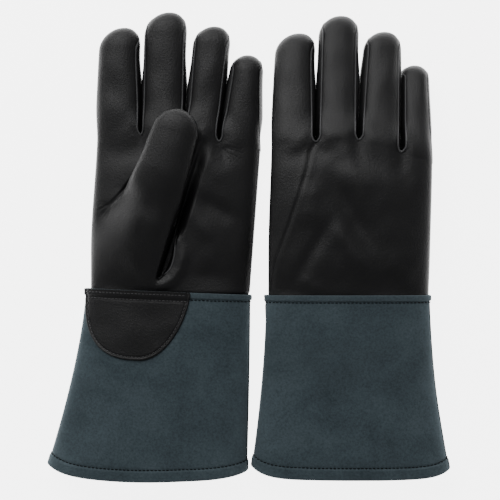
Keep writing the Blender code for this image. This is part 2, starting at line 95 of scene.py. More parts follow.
UNDER_INSET = 2.5            # from a finger's side to the fourchette seam on its underside
BAND = 4.4                   # height of the rolled edge at the top of the cuff
HEM_ROW = 9.4                # hem stitches above the hem's edge
HEM_TURN = 0.985             # share of the cuff's depth where the suede turns in at the hem
KNUCKLE_Y = 118.0            # where the hand's width is shared out between the fingers
FINGER_EASE = 26.0           # over which a finger turns from the hand's shape into its own
KNUCKLE_FOLD = 13.0          # length of leather that bends at a knuckle
HAND_START = -7.0            # the hand's first row, tucked into the cuff
LOWEST = 0.15                # height over the floor that the leather never goes below
SEAM_SINK = 0.2              # of a laid seam into the leather
COLUMNS = (42, 38, 36, 36)   # columns of mesh across each finger, top or bottom
HAND_ROWS = 150
WALL_COLUMNS = 12
THUMB_COLUMNS = 48

# rows of mesh along a finger: 0 is the knuckle line, 1 the start of the round tip, 2 its end
BASE_ROWS = [0.0, 0.006, 0.014, 0.03, 0.052, 0.078, 0.108, 0.142, 0.18, 0.22]
ROWS = (BASE_ROWS + [0.22 + 0.78 * k / 26 for k in range(1, 27)]
        + [1 + k / 22 for k in range(1, 22)] + [1.985])
PIPED_ROWS = sum(row <= 1.5 for row in ROWS)

# the left thumb's root, which the palm leather swells into, and the two thumbs' stalls
THUMB_START = (-31.5, 14.0)
THUMB_HEADING = (0.31, 0.951)
THUMB_JOIN = 46.0            # along the thumb's line, where the stall leaves the palm
THUMB_RISE = 12.5
THUMB_RIGHT = 24.5           # from the thumb's line to the steep side of its root
THUMB_LEFT = 20.0            # and to the other side, where the stall begins
STALL_HALF = 17.8            # half width of the left stall
LEFT_STALL = [(-10.0, 76.0), (0.0, 100.0), (12.0, 134.6)]
RIGHT_STALL = [(-36.0, 8.0), (-24.0, 38.0), (-6.0, 68.0), (22.0, 106.0)]

# the pulse patch
PATCH_LEFT, PATCH_RIGHT, PATCH_DEPTH = -60.6, 17.4, 51.2
PATCH_HALF = (PATCH_RIGHT - PATCH_LEFT) / 2
PATCH_FLAT = (0.085, 0.053)   # metres, cut out flat
PATCH_FULL = (2.6, 3.4)      # powers of the outline's left half, which is fuller
PATCH_EVEN = (2.0, 1.5)      # and of its right half
PATCH_ROWS, PATCH_COLUMNS = 46, 70
PATCH_GROOVE = 2.6           # from the patch's edge to the stitches round it
PATCH_STITCHED = (2.3, 6.7)  # stitch rows along its straight top, below the cuff's edge
STACKED = (3.8, 5.0)         # where the patch comes down off the cuff's rolled edge

# lines on the leather
THUMB_SEAM = [(7.6, 43.0), (6.4, 39.3), (5.2, 27.0), (1.6, 17.0), (-6.5, 10.6)]
THUMB_FOLD = [(9.5, 40.0), (11.4, 33.0), (11.6, 26.0), (9.6, 18.0), (4.6, 10.6), (-3.0, 6.0), (-12.0, 4.0)]
THUMB_CREASE = [(-20.0, 94.0), (-26.0, 84.0), (-33.5, 74.5), (-41.0, 67.0), (-48.0, 62.0)]
BACK_SEAM = [(-24.6, 112.6), (-28.4, 106.0), (-31.2, 92.0), (-37.5, 72.1), (-44.7, 51.4), (-53.8, 27.0),
             (-56.4, 14.4), (-57.8, 1.8)]

# soft folds: from, to, width and depth, where a negative depth is a ridge
PALM_FOLDS = [
    ((39.0, 109.0), (50.0, 94.0), 6.0, 0.3), ((-38.0, 64.0), (-54.0, 55.0), 4.5, 0.9),
    ((-54.0, 106.0), (-8.0, 103.0), 10.0, 1.3), ((22.0, 72.0), (54.0, 51.0), 6.5, 1.5),
    ((11.0, 64.0), (42.0, 34.0), 7.5, -1.1), ((28.0, 104.0), (46.0, 80.0), 8.0, -1.0),
    ((-30.0, 28.0), (-8.0, 4.0), 6.0, -0.8), ((26.0, 124.0), (27.0, 112.0), 4.0, -0.8),
    ((16.0, 14.0), (50.0, 10.0), 6.0, 0.7),
]
BACK_FOLDS = [
    ((-23.0, 112.0), (-47.0, 99.0), 6.0, 0.8), ((-24.0, 117.0), (-46.0, 108.0), 5.0, -0.4),
    ((-31.6, 82.0), (-28.0, 52.0), 8.0, -1.4), ((-18.0, 92.0), (22.0, 28.0), 8.0, 2.4),
    ((-12.0, 52.0), (18.0, 12.0), 7.0, -1.6), ((-14.0, 56.0), (-38.0, 14.0), 5.5, 1.2),
    ((-36.0, 14.0), (-20.0, 3.0), 5.0, -0.9), ((28.0, 24.0), (48.0, 13.0), 6.0, -0.8),
    ((0.0, 98.0), (13.0, 66.0), 6.0, -0.7), ((6.0, 108.0), (34.0, 88.0), 9.0, 0.9),
    ((-20.0, 110.0), (-4.0, 92.0), 8.0, 1.2), ((36.0, 100.0), (50.0, 84.0), 7.0, 0.5),
]


# ---- small maths ----
def mix(a, b, t):
    return a + (b - a) * t


def smooth(low, high, x):
    """Rises from 0 to 1 between low and high."""
    t = np.clip((x - low) / (high - low), 0.0, 1.0)
    return t * t * (3 - 2 * t)


def step(low, high, x):
    """The same for a single number."""
    return float(smooth(low, high, x))


def bell(distance, width):
    return np.exp(-((distance / width) ** 2))


def along(values, y):
    """Values joined by smooth steps between the hand's stations."""
    total = values[0] + 0.0 * y
    for (s0, s1), (v0, v1) in zip(zip(STATIONS, STATIONS[1:]), zip(values, values[1:])):
        total = total + (v1 - v0) * smooth(s0, s1, y)
    return total


def signed_power(value, power):
    return np.sign(value) * np.abs(value) ** power


def ripple(x, y, size, seed):
    """Soft waves about 1 high whose lumps are about size across."""
    rng = np.random.default_rng(seed)
    total = 0.0 * x
    for _ in range(7):
        turn, phase = rng.uniform(0, math.tau, 2)
        pitch = size * rng.uniform(1.4, 2.8)
        total = total + np.sin((x * math.cos(turn) + y * math.sin(turn)) * math.tau / pitch + phase)
    return total / 3.0


def crease(x, y, start, end, width, depth):
    """A valley between two points, fading at both ends. A negative depth makes a ridge."""
    (x0, y0), (x1, y1) = start, end
    length = math.hypot(x1 - x0, y1 - y0)
    ux, uy = (x1 - x0) / length, (y1 - y0) / length
    t = ((x - x0) * ux + (y - y0) * uy) / length
    off = (x - x0) * -uy + (y - y0) * ux
    taper = smooth(-0.15, 0.3, t) * (1 - smooth(0.6, 1.15, t))
    return -depth * bell(off, width) * taper


def fan(x, y, centre, first, last, count, lengths, seed):
    """Fine wrinkles that spread from a point where the leather is pulled together. Angles in degrees."""
    rng = np.random.default_rng(seed)
    total = 0.0 * x
    for k in range(count):
        turn = math.radians(mix(first, last, (k + rng.uniform(-0.3, 0.3)) / (count - 1)))
        length = rng.uniform(*lengths)
        begin = rng.uniform(1.0, 4.0)
        start = (centre[0] + begin * math.cos(turn), centre[1] + begin * math.sin(turn))
        end = (centre[0] + length * math.cos(turn), centre[1] + length * math.sin(turn))
        total = total + crease(x, y, start, end, rng.uniform(0.6, 0.9), rng.uniform(0.18, 0.34))
    return total


def path_distance(x, y, points):
    """Distance from a broken line, and how far along it (0 to 1) the nearest point is."""
    best = 1e9 + 0.0 * x
    share = 0.0 * x
    lengths = [math.dist(a, b) for a, b in zip(points, points[1:])]
    done = 0.0
    for (a, b), length in zip(zip(points, points[1:]), lengths):
        dx, dy = (b[0] - a[0]) / length, (b[1] - a[1]) / length
        t = np.clip((x - a[0]) * dx + (y - a[1]) * dy, 0, length)
        d = np.hypot(x - a[0] - dx * t, y - a[1] - dy * t)
        share = np.where(d < best, (done + t) / sum(lengths), share)
        best = np.minimum(best, d)
        done += length
    return best, share


# ---- meshes ----
def place(glove, points):
    """Glove millimetres to pair metres, for an array of points."""
    out = np.array(points, dtype=float)
    out[..., 0] += glove["origin"][0]
    out[..., 1] += glove["origin"][1]
    return out * MM


def grid_normals(p, around=False):
    """Normals of a grid of points (rows, columns, 3)."""
    if around:
        across = np.roll(p, -1, axis=1) - np.roll(p, 1, axis=1)
    else:
        across = np.gradient(p, axis=1)
    down = np.gradient(p, axis=0)
    n = np.cross(across, down)
    return n / np.maximum(np.linalg.norm(n, axis=-1, keepdims=True), 1e-12)


def outward(p, towards):
    """An open grid's normals, turned to the side of the given direction."""
    n = grid_normals(p)
    lean = np.sum(n * np.array(towards, dtype=float), axis=-1)
    return -n if np.mean(lean) < 0 else n


def centred_normals(p, inward=False):
    """A closed grid's normals, away from its centre line or towards it."""
    n = grid_normals(p, around=True)
    centre = p.mean(axis=1, keepdims=True)
    lean = np.sign(np.sum(n * (p - centre), axis=-1).mean())
    return n * (-lean if inward else lean)


def new_object(name, data):
    obj = bpy.data.objects.new(name, data)
    bpy.context.scene.collection.objects.link(obj)
    return obj


class Patchwork:
    """Collects grids of points into one mesh, with normals that carry on from one grid to the next."""

    def __init__(self):
        self.points, self.normals, self.faces, self.count = [], [], [], 0

    def add(self, p, n, around=False):
        rows, columns = p.shape[:2]
        base = self.count
        last = columns if around else columns - 1
        flip = float(np.sum(grid_normals(p, around) * n)) < 0
        for r in range(rows - 1):
            for c in range(last):
                d = (c + 1) % columns
                quad = [base + r * columns + c, base + r * columns + d,
                        base + (r + 1) * columns + d, base + (r + 1) * columns + c]
                self.faces.append(quad[::-1] if flip else quad)
        self.points.append(p.reshape(-1, 3))
        self.normals.append(n.reshape(-1, 3))
        self.count += rows * columns

    def build(self, glove, name, material):
        mesh = bpy.data.meshes.new(name)
        points = place(glove, np.concatenate(self.points))
        mesh.from_pydata(points.tolist(), [], self.faces)
        mesh.shade_smooth()
        mesh.normals_split_custom_set_from_vertices(np.concatenate(self.normals).tolist())
        mesh.materials.append(material)
        return new_object(name, mesh)


def one_grid(glove, name, material, p, n, around=True):
    """A piece made of a single grid."""
    work = Patchwork()
    work.add(p, n, around)
    return work.build(glove, name, material)


def tube(points, radius, sides=8):
    """Grid of a round rod through an array of points, radius a number or one per point."""
    tangent = np.gradient(points, axis=0)
    tangent /= np.linalg.norm(tangent, axis=1, keepdims=True)
    side = np.cross(tangent, np.array((0.0, 0.0, 1.0)))
    weak = np.linalg.norm(side, axis=1) < 0.2
    side[weak] = np.cross(tangent[weak], np.array((0.0, 1.0, 0.0)))
    side /= np.linalg.norm(side, axis=1, keepdims=True)
    rise = np.cross(side, tangent)
    a = np.linspace(0, math.tau, sides, endpoint=False)
    ring = side[:, None] * np.cos(a)[None, :, None] + rise[:, None] * np.sin(a)[None, :, None]
    radii = np.broadcast_to(np.asarray(radius, dtype=float), (len(points),))
    return points[:, None] + ring * radii[:, None, None], ring


def resample(points, pitch):
    """Points evenly spaced along a broken line."""
    points = np.asarray(points, dtype=float)
    steps = np.linalg.norm(np.diff(points, axis=0), axis=1)
    run = np.concatenate([[0], np.cumsum(steps)])
    count = max(2, int(round(run[-1] / pitch)) + 1)
    at = np.linspace(0, run[-1], count)
    return np.stack([np.interp(at, run, points[:, k]) for k in range(points.shape[1])], axis=1)


def stitches(work, path, lift, pitch=2.9, length=2.1, radius=0.34):
    """Separate stitches along a path: each dives into the leather at both ends. lift is the normal there."""
    steps = 12
    fine = resample(np.concatenate([path, lift], axis=1), pitch / steps)
    share = np.linspace(-1, 1, 9)
    half = length / pitch * (steps // 2)
    for start in range(0, len(fine) - steps, steps):
        at = start + steps // 2 + share * half
        i = np.clip(np.round(at).astype(int), 0, len(fine) - 1)
        p, n = fine[i, :3], fine[i, 3:]
        arch = (0.30 - 0.75 * np.abs(share) ** 3)[:, None]
        if np.linalg.norm(p[-1] - p[0]) < 0.2:
            continue
        ring, normal = tube(p + n * arch, radius * (1 - 0.35 * share ** 4), sides=6)
        work.add(ring, normal, around=True)


# ---- materials ----
def new_material(name):
    made = bpy.data.materials.new(name)
    made.use_nodes = True
    tree = made.node_tree
    return made, tree, tree.nodes["Principled BSDF"]


def fill(made, **inputs):
    """Sets a node's inputs, with _ for a space in a name."""
    for key, value in inputs.items():
        made.inputs[key.replace("_", " ")].default_value = value
    return made


def texture(tree, kind, **inputs):
    """A texture in the object's own coordinates."""
    made = fill(tree.nodes.new(kind), **inputs)
    place_at = tree.nodes.new("ShaderNodeTexCoord")
    tree.links.new(place_at.outputs["Object"], made.inputs["Vector"])
    return made


def noise(tree, scale, detail, roughness, distortion=0.0):
    made = texture(tree, "ShaderNodeTexNoise", Scale=scale, Detail=detail, Roughness=roughness)
    return fill(made, Distortion=distortion).outputs["Fac"]


def twill(tree, **inputs):
    made = texture(tree, "ShaderNodeTexWave", **inputs)
    made.bands_direction = "DIAGONAL"
    return made.outputs["Fac"]


def ramp(tree, source, low, high, positions=(0.0, 1.0)):
    """Colours from low to high, which follow the source between the two positions."""
    made = tree.nodes.new("ShaderNodeValToRGB")
    for element, position, colour in zip(made.color_ramp.elements, positions, (low, high)):
        element.position = position
        element.color = (*colour, 1)
    tree.links.new(source, made.inputs["Fac"])
    return made.outputs["Color"]


def bump(tree, height, strength, distance, under=None):
    """Relief from a texture, added to the relief under it. Distance in metres."""
    made = fill(tree.nodes.new("ShaderNodeBump"), Strength=strength, Distance=distance)
    tree.links.new(height, made.inputs["Height"])
    if under is not None:
        tree.links.new(under, made.inputs["Normal"])
    return made.outputs["Normal"]


def leather_material(name, dark, light, grain=0.5):
    """Black grain leather: pebbled, with pores, a soft satin shine and broad patches that are a little
    lighter at random.
    """
    made, tree, shader = new_material(name)
    link = tree.links.new
    broad = noise(tree, 38.0, 3.0, 0.55)
    fine = noise(tree, 900.0, 4.0, 0.6)
    coarse = noise(tree, 640.0, 5.0, 0.65)
    pebble = texture(tree, "ShaderNodeTexVoronoi", Scale=1250.0, Randomness=1.0)
    pebble.feature = "SMOOTH_F1"
    link(ramp(tree, broad, dark, light, (0.3, 0.72)), shader.inputs["Base Color"])
    rough = fill(tree.nodes.new("ShaderNodeMapRange"), To_Min=0.46, To_Max=0.54)
    link(broad, rough.inputs["Value"])
    link(rough.outputs["Result"], shader.inputs["Roughness"])
    normal = bump(tree, broad, 0.22, 0.0006)
    normal = bump(tree, coarse, grain, 0.0005, normal)
    normal = bump(tree, pebble.outputs["Distance"], grain, 0.00012, normal)
    normal = bump(tree, fine, grain * 0.6, 0.00008, normal)
    link(normal, shader.inputs["Normal"])
    fill(shader, Specular_IOR_Level=0.32)
    return made


def suede_material(name, dark, light, edge):
    """Split leather with a short nap: mottled where it was brushed, with fine fibres and pale specks, and a
    painted sheen that lightens it towards its outline.
    """
    made, tree, shader = new_material(name)
    link = tree.links.new
    cloud = noise(tree, 26.0, 6.0, 0.62, 0.4)
    nap = noise(tree, 620.0, 5.0, 0.7)
    speck = noise(tree, 2100.0, 2.0, 0.6)
    shade = tree.nodes.new("ShaderNodeMix")
    shade.data_type = "RGBA"
    shade.blend_type = "MULTIPLY"
    shade.inputs["Factor"].default_value = 0.8
    link(ramp(tree, cloud, dark, light, (0.32, 0.70)), shade.inputs["A"])
    link(ramp(tree, nap, [0.62] * 3, [1.32] * 3, (0.30, 0.72)), shade.inputs["B"])
    # painted sheen: where the surface turns away from the view the colour goes over to the lighter edge
    # colour, a painted rim of light
    painted_rim_sheen = tree.nodes.new("ShaderNodeMix")
    painted_rim_sheen.data_type = "RGBA"
    painted_rim_sheen.inputs["B"].default_value = (*edge, 1)
    facing = fill(tree.nodes.new("ShaderNodeLayerWeight"), Blend=0.22)
    link(facing.outputs["Facing"], painted_rim_sheen.inputs["Factor"])
    link(shade.outputs["Result"], painted_rim_sheen.inputs["A"])
    link(painted_rim_sheen.outputs["Result"], shader.inputs["Base Color"])
    normal = bump(tree, nap, 0.35, 0.0003)
    link(bump(tree, speck, 0.35, 0.0001, normal), shader.inputs["Normal"])
    fill(shader, Roughness=0.93, Specular_IOR_Level=0.08, Sheen_Weight=0.05, Sheen_Roughness=0.6)
    return made


def cloth_material(name, colour, scale):
    """Brushed cotton: a fine twill under a soft fuzz."""
    made, tree, shader = new_material(name)
    weave = twill(tree, Scale=scale, Distortion=1.5, Detail=2.0)
    fuzz = noise(tree, 700.0, 4.0, 0.7)
    tree.links.new(ramp(tree, fuzz, [c * 0.72 for c in colour], colour), shader.inputs["Base Color"])
    normal = bump(tree, weave, 0.3, 0.0002)
    tree.links.new(bump(tree, fuzz, 0.3, 0.0002, normal), shader.inputs["Normal"])
    fill(shader, Roughness=0.95, Sheen_Weight=0.3)
    return made


def thread_material(name, colour, shine):
    """Twisted sewing thread."""
    made, tree, shader = new_material(name)
    twist = twill(tree, Scale=900.0, Distortion=1.0)
    tree.links.new(ramp(tree, twist, [c * 0.6 for c in colour], colour), shader.inputs["Base Color"])
    tree.links.new(bump(tree, twist, 0.4, 0.0001), shader.inputs["Normal"])
    fill(shader, Roughness=0.62, Specular_IOR_Level=shine)
    return made


# ---- the hand as a tube ----
def hand_plan(glove, y):
    """(middle x, half width) of the hand at y."""
    t = y / STATIONS[-1]
    left = mix(glove["wrist"][0], glove["knuckles"][0], smooth(0.25, 1.05, t))
    right = mix(glove["wrist"][1], glove["knuckles"][1], t)
    return (left + right) / 2, (right - left) / 2


def hand_height(glove, share, y, up):
    """z of the hand's top (up 1) or underside (up -1); share runs across it from -1 to 1."""
    half = along(PALM_HEIGHTS, y)
    crown = (1 - np.clip(np.abs(share), 0, 1) ** HAND_POWER) ** (1 / HAND_POWER)
    z = half + along(glove["rise"], y) + up * half * crown
    return np.maximum(z, LOWEST)


def edge_fade(share):
    """1 over the hand's middle, falling to 0 at its two sides."""
    return 1 - np.abs(share) ** 8


def crotch_pull(glove, x, y):
    """The leather is drawn down where two fingers meet."""
    total = 0.0 * x
    for cx, cy in glove["crotches"][1:4]:
        reach = np.where(y < cy, 17.0, 9.0)
        total = total + CROTCH_PULL * np.exp(-((x - cx) / 6.5) ** 2 - ((y - cy) / reach) ** 2)
    return total


def relief(glove, x, y, up):
    """Height added to the plain hand: dimples at the crotches, soft lumps, and what its top alone has."""
    z = -crotch_pull(glove, x, y)
    z = z + 0.4 * ripple(x, y, 30.0, 3 if up > 0 else 8) + 0.1 * ripple(x, y, 10.0, 5)
    if up < 0:
        return z * 0.8
    if glove is LEFT:
        return z + left_palm_relief(x, y)
    return z + right_back_relief(x, y)


def folded(z, x, y, folds):
    for start, end, width, depth in folds:
        z = z + crease(x, y, start, end, width, depth)
    return z


def left_palm_relief(x, y):
    """The thumb's root with its fold and crease, the wrinkles gathered into two seams, and soft folds."""
    z = thumb_swell(x, y) + thumb_trench(x, y)
    off, share = path_distance(x, y, THUMB_FOLD)
    z = z + 1.9 * bell(off, 4.2) * smooth(0.0, 0.35, share) * (1 - smooth(0.8, 1.0, share))
    off, share = path_distance(x, y, THUMB_CREASE)
    z = z - 1.5 * bell(off, 1.3) * smooth(0.0, 0.3, share) * (1 - smooth(0.7, 1.0, share))
    z = z + 0.9 * fan(x, y, (39.6, 109.6), -12.0, -84.0, 13, (9.0, 19.0), 61)
    z = z + 2.2 * fan(x, y, (-40.0, 67.0), 176.0, 246.0, 8, (10.0, 16.0), 62)
    return folded(z, x, y, PALM_FOLDS)


def right_back_relief(x, y):
    """The seam from the index finger's root to the wrist, and soft folds."""
    off, _ = path_distance(x, y, BACK_SEAM)
    z = -0.55 * bell(off, 1.2) + 0.2 * bell(off - 3.0, 2.0)
    return folded(z, x, y, BACK_FOLDS)


# ---- the left thumb's root ----
def thumb_axes(x, y):
    """(along, across) of a point from the thumb's start."""
    dx, dy = x - THUMB_START[0], y - THUMB_START[1]
    return dx * THUMB_HEADING[0] + dy * THUMB_HEADING[1], dx * THUMB_HEADING[1] - dy * THUMB_HEADING[0]


def thumb_profile(across, steep, reach=THUMB_LEFT):
    """Section of the thumb's root: steep on the right, and on the left easing out or, with steep 1, round."""
    right = np.clip(across / THUMB_RIGHT, 0, 1)
    left = np.clip(-across / mix(reach, 19.0, steep), 0, 1)
    round_right = (1 - right ** 3.0) ** 0.5
    eased = 0.5 + 0.5 * np.cos(left * math.pi)
    round_left = (1 - left ** 2.3) ** 0.45
    return np.where(across >= 0, round_right, mix(eased, round_left, steep))


def thumb_trench(x, y):
    """The deep fold along the right of the thumb, crisp where the root is sewn in and softer beyond."""
    s, q = thumb_axes(x, y)
    outer = np.interp(s, (3.0, 8.0, 14.0, 24.0, 36.0), (24.8, 28.0, 29.6, 30.0, 28.6))
    crisp = 1 - smooth(outer - 1.0, outer + 0.4, q)
    soft = 1 - smooth(25.2, 33.5, q)
    shape = mix(crisp, soft, smooth(33.0, 50.0, s))
    depth = mix(9.0, 3.0, smooth(44.0, 90.0, s)) * smooth(2.0, 9.0, s) * (1 - smooth(92.0, 118.0, s))
    return -depth * smooth(22.6, 25.2, q) * shape


def root_reach(s):
    """How far left of the thumb's line its root eases out into the palm."""
    return mix(46.0, 29.0, smooth(4.0, 46.0, s))


def root_swell(s, q):
    """Height of the thumb's root, s along its line and q across it."""
    return THUMB_RISE * smooth(-12.0, 46.0, s) * thumb_profile(q, 0.0, root_reach(s))


def thumb_swell(x, y):
    """The root's height on the palm, down to nothing where the stall has left it."""
    s, q = thumb_axes(x, y)
    return root_swell(s, q) * (1 - smooth(THUMB_JOIN + 3.0, THUMB_JOIN + 14.0, s))


# ---- fingers ----
def finger_line(glove, i):
    """Base point, heading and across vectors, and length of finger i."""
    (x0, y0), (x1, y1) = glove["crotches"][i], glove["crotches"][i + 1]
    tip = glove["tips"][i]
    z0, z1 = (h + r for h, r in zip(FINGER_HEIGHTS, glove["finger_rise"]))
    base = np.array(((x0 + x1) / 2, (y0 + y1) / 2, z0))
    end = np.array((tip[0], tip[1], z1))
    length = float(np.linalg.norm(end - base))
    heading = (end - base) / length
    across = np.array((heading[1], -heading[0], 0.0))
    across /= np.linalg.norm(across)
    return base, heading, across, length


def finger_row(glove, i, row):
    """(distance along, half width, half height) at a row: 0 base, 1 start of the round tip, 2 its end."""
    _, _, _, length = finger_line(glove, i)
    tip = glove["tip_widths"][i]
    shaft = min(row, 1.0)
    turn = max(0.0, row - 1) * math.pi / 2
    power = 2 / TIP_POWER
    reach = (length - tip * TIP_LENGTH) * shaft + tip * TIP_LENGTH * math.sin(turn) ** power
    scale = max(math.cos(turn), 0.0) ** power
    half_width = mix(glove["base_widths"][i], tip, step(0.2, 1.1, shaft)) * scale
    half_height = mix(FINGER_HEIGHTS[0], FINGER_HEIGHTS[1], shaft) * scale
    return reach, half_width, half_height


def seam_turn(glove, i, row, side, up=1):
    """Angle from the finger's side, in radians, where the fourchette is sewn on: side 0 is left, 1 right."""
    width = mix(glove["base_widths"][i], glove["tip_widths"][i], min(row, 1.0))
    inset = glove["seam_insets"][i][side] if up > 0 else UNDER_INSET
    turn = math.acos(max(0.0, 1 - inset / width) ** (FINGER_POWER / 2))
    return turn * (1 - step(1.0, 1.55, row))


def finger_points(glove, i, row, angles):
    """Points on finger i's section at a row."""
    base, heading, across, _ = finger_line(glove, i)
    reach, half_width, half_height = finger_row(glove, i, row)
    (x0, y0), (x1, y1) = glove["crotches"][i], glove["crotches"][i + 1]
    skew = (y1 - y0) / (x1 - x0) * (1 - min(row, 1.0))
    lean = glove["tip_leans"][i] * step(0.8, 2.0, row)
    c, s = np.cos(angles), np.sin(angles)
    x = signed_power(c, 2 / FINGER_POWER) * half_width
    up = signed_power(s, 2 / FINGER_POWER) * half_height
    rise = np.cross(across, heading)
    p = base + heading * (reach + skew * x)[:, None] + across * (x + lean)[:, None] + rise * up[:, None]
    p[:, 2] = np.maximum(p[:, 2], LOWEST)
    return p


def strip_shares(glove, i, count):
    """Shares across the hand, from -1 to 1, of a finger's columns at the knuckle line, left to right."""
    middle, half = hand_plan(glove, KNUCKLE_Y)
    x0, x1 = glove["crotches"][i][0], glove["crotches"][i + 1][0]
    s0, s1 = max(-1.0, (x0 - middle) / half), min(1.0, (x1 - middle) / half)
    t = np.linspace(0, 1, count + 1)
    if i == 0:
        turn = mix(math.pi, math.acos(signed_power(s1, HAND_POWER / 2)), t)
        shares = signed_power(np.cos(turn), 2 / HAND_POWER)
        shares[0] = -1.0
        return shares
    if i == 3:
        turn = mix(math.acos(signed_power(s0, HAND_POWER / 2)), 0.0, t)
        shares = signed_power(np.cos(turn), 2 / HAND_POWER)
        shares[-1] = 1.0
        return shares
    return mix(s0, s1, t)


def knuckle_y(glove, shares):
    """y of the knuckle line under each column."""
    middle, half = hand_plan(glove, KNUCKLE_Y)
    xs, ys = zip(*glove["crotches"])
    return np.interp(middle + half * shares, xs, ys)


def hand_rows(glove, shares, up):
    """Grid of the hand's top or underside from the wrist to the knuckle line, columns left to right."""
    end = knuckle_y(glove, shares)
    y = mix(HAND_START, end, np.linspace(0, 1, HAND_ROWS)[:, None])
    middle, half = hand_plan(glove, y)
    tuck = 1.3 * (1 - smooth(-3.0, 1.5, y))
    x = middle + (half - tuck) * shares[None, :]
    z = hand_height(glove, shares[None, :], y, up) - up * tuck
    fade = edge_fade(shares[None, :]) * smooth(-2.0, 6.0, y)
    z = z + relief(glove, x, y, up) * fade * up
    z = np.maximum(z, LOWEST if up < 0 else 1.0)
    return np.stack([x, y, z], axis=-1)


def extended(glove, shares, i, row, up):
    """The hand's surface carried on past the knuckle line at a finger's row, for the finger to start on."""
    reach, _, _ = finger_row(glove, i, row)
    end = knuckle_y(glove, shares)
    y = end + reach
    middle, half = hand_plan(glove, end)
    x = middle + half * shares
    z = hand_height(glove, shares, end, up)
    slope = (glove["finger_rise"][1] - glove["finger_rise"][0]) / 85.0
    z = z + relief(glove, x, y, up) * edge_fade(shares) * up + slope * reach * step(0.0, FINGER_EASE, reach)
    # the gap between two fingers opens as a narrow U
    gap = np.sqrt(np.clip(reach / 4.0, 0, 1))
    t = np.linspace(-1, 1, len(shares))
    left = glove["seam_insets"][i][0] if up > 0 else UNDER_INSET * (i > 0)
    right = glove["seam_insets"][i][1] * (i < 3) if up > 0 else UNDER_INSET * (i < 3)
    x = x + gap * (left * np.clip(-t, 0, 1) ** 3 - right * np.clip(t, 0, 1) ** 3)
    return np.stack([x, y, np.maximum(z, LOWEST)], axis=-1)


def strip(glove, i, up):
    """Grid of a finger's top or underside from the knuckle line to its tip, columns left to right."""
    count = COLUMNS[i]
    shares = strip_shares(glove, i, count)
    t = np.linspace(0, 1, count + 1)
    rows = []
    for row in ROWS:
        reach, _, _ = finger_row(glove, i, row)
        left = seam_turn(glove, i, row, 0, up) if i > 0 else 0.0
        right = seam_turn(glove, i, row, 1, up) if i < 3 else seam_turn(glove, i, row, 1) * up
        turn = mix(math.pi - left, right, t)
        own = finger_points(glove, i, row, turn * up)
        edge = np.minimum(t, 1 - t) * 2
        if row > 0:
            groove = 0.5 * bell(edge, 0.08) * (1 - step(1.2, 1.6, row))
            own[:, 2] -= up * groove
        ease = step(0.0, FINGER_EASE, reach)
        start = extended(glove, shares, i, row, up)
        full = 1 - step(1.3, 1.9, row)
        own[:, 2] += 0.4 * up * ripple(own[:, 0], own[:, 1], 15.0, 11 + i) * np.sin(t * math.pi) * full
        rows.append(mix(start, own, ease))
    return np.stack(rows)


def plan_gap(glove, i, y):
    """Half the gap, seen from above, between the sections of fingers i and i + 1 at y."""
    edges = []
    for finger, turn in ((i, 0.0), (i + 1, math.pi)):
        line = [finger_points(glove, finger, row, np.array([turn]))[0] for row in ROWS if row <= 1.4]
        line = np.array(line)
        edges.append(np.interp(y, line[:, 1], line[:, 0]))
    return (edges[1] - edges[0]) / 2


def wall(glove, i, side):
    """Grid of a fourchette, side 1 on the right of finger i, -1 on its left. Columns run from top down."""
    top, under = strip(glove, i, 1), strip(glove, i, -1)
    edge = -1 if side > 0 else 0
    at = int(side > 0)
    t = np.linspace(0, 1, WALL_COLUMNS + 1)
    fit = (1 - np.sin(t * math.pi) ** 0.6)[:, None]
    rows = []
    for r, row in enumerate(ROWS):
        reach, _, _ = finger_row(glove, i, row)
        a, b = top[r, edge], under[r, edge]
        turn = mix(seam_turn(glove, i, row, at), -seam_turn(glove, i, row, at, -1), t)
        own = finger_points(glove, i, row, turn if side > 0 else math.pi - turn)
        flat = mix(a[None], b[None], t[:, None])
        ease = step(0.0, 0.9, reach)
        p = mix(flat, own, ease)
        p = p + mix(a - p[0], b - p[-1], t[:, None]) * fit
        rows.append(p)
    # near the crotch the soft walls swell until they all but touch
    crotch = i if side > 0 else i - 1
    opens = glove["gaps_open"][crotch]
    wide = np.stack(rows)
    y = wide[:, WALL_COLUMNS // 2, 1]
    swell = (plan_gap(glove, crotch, y) - 0.1) * (1 - smooth(opens, opens + 30.0, y))
    swell = np.clip(swell, -1.0, 3.0) * smooth(0.0, 2.0, y - y[0])
    belly = np.sin(np.linspace(0, math.pi, WALL_COLUMNS + 1)) ** 0.8
    sway = glove["wall_sway"] * smooth(0.0, 2.0, y - y[0]) * (1 - smooth(opens + 5.0, opens + 25.0, y))
    wide[:, :, 0] += side * swell[:, None] * belly[None, :]
    wide[:, :, 0] += sway[:, None] * np.sin(np.linspace(0, math.tau, WALL_COLUMNS + 1))[None, :]
    return wide


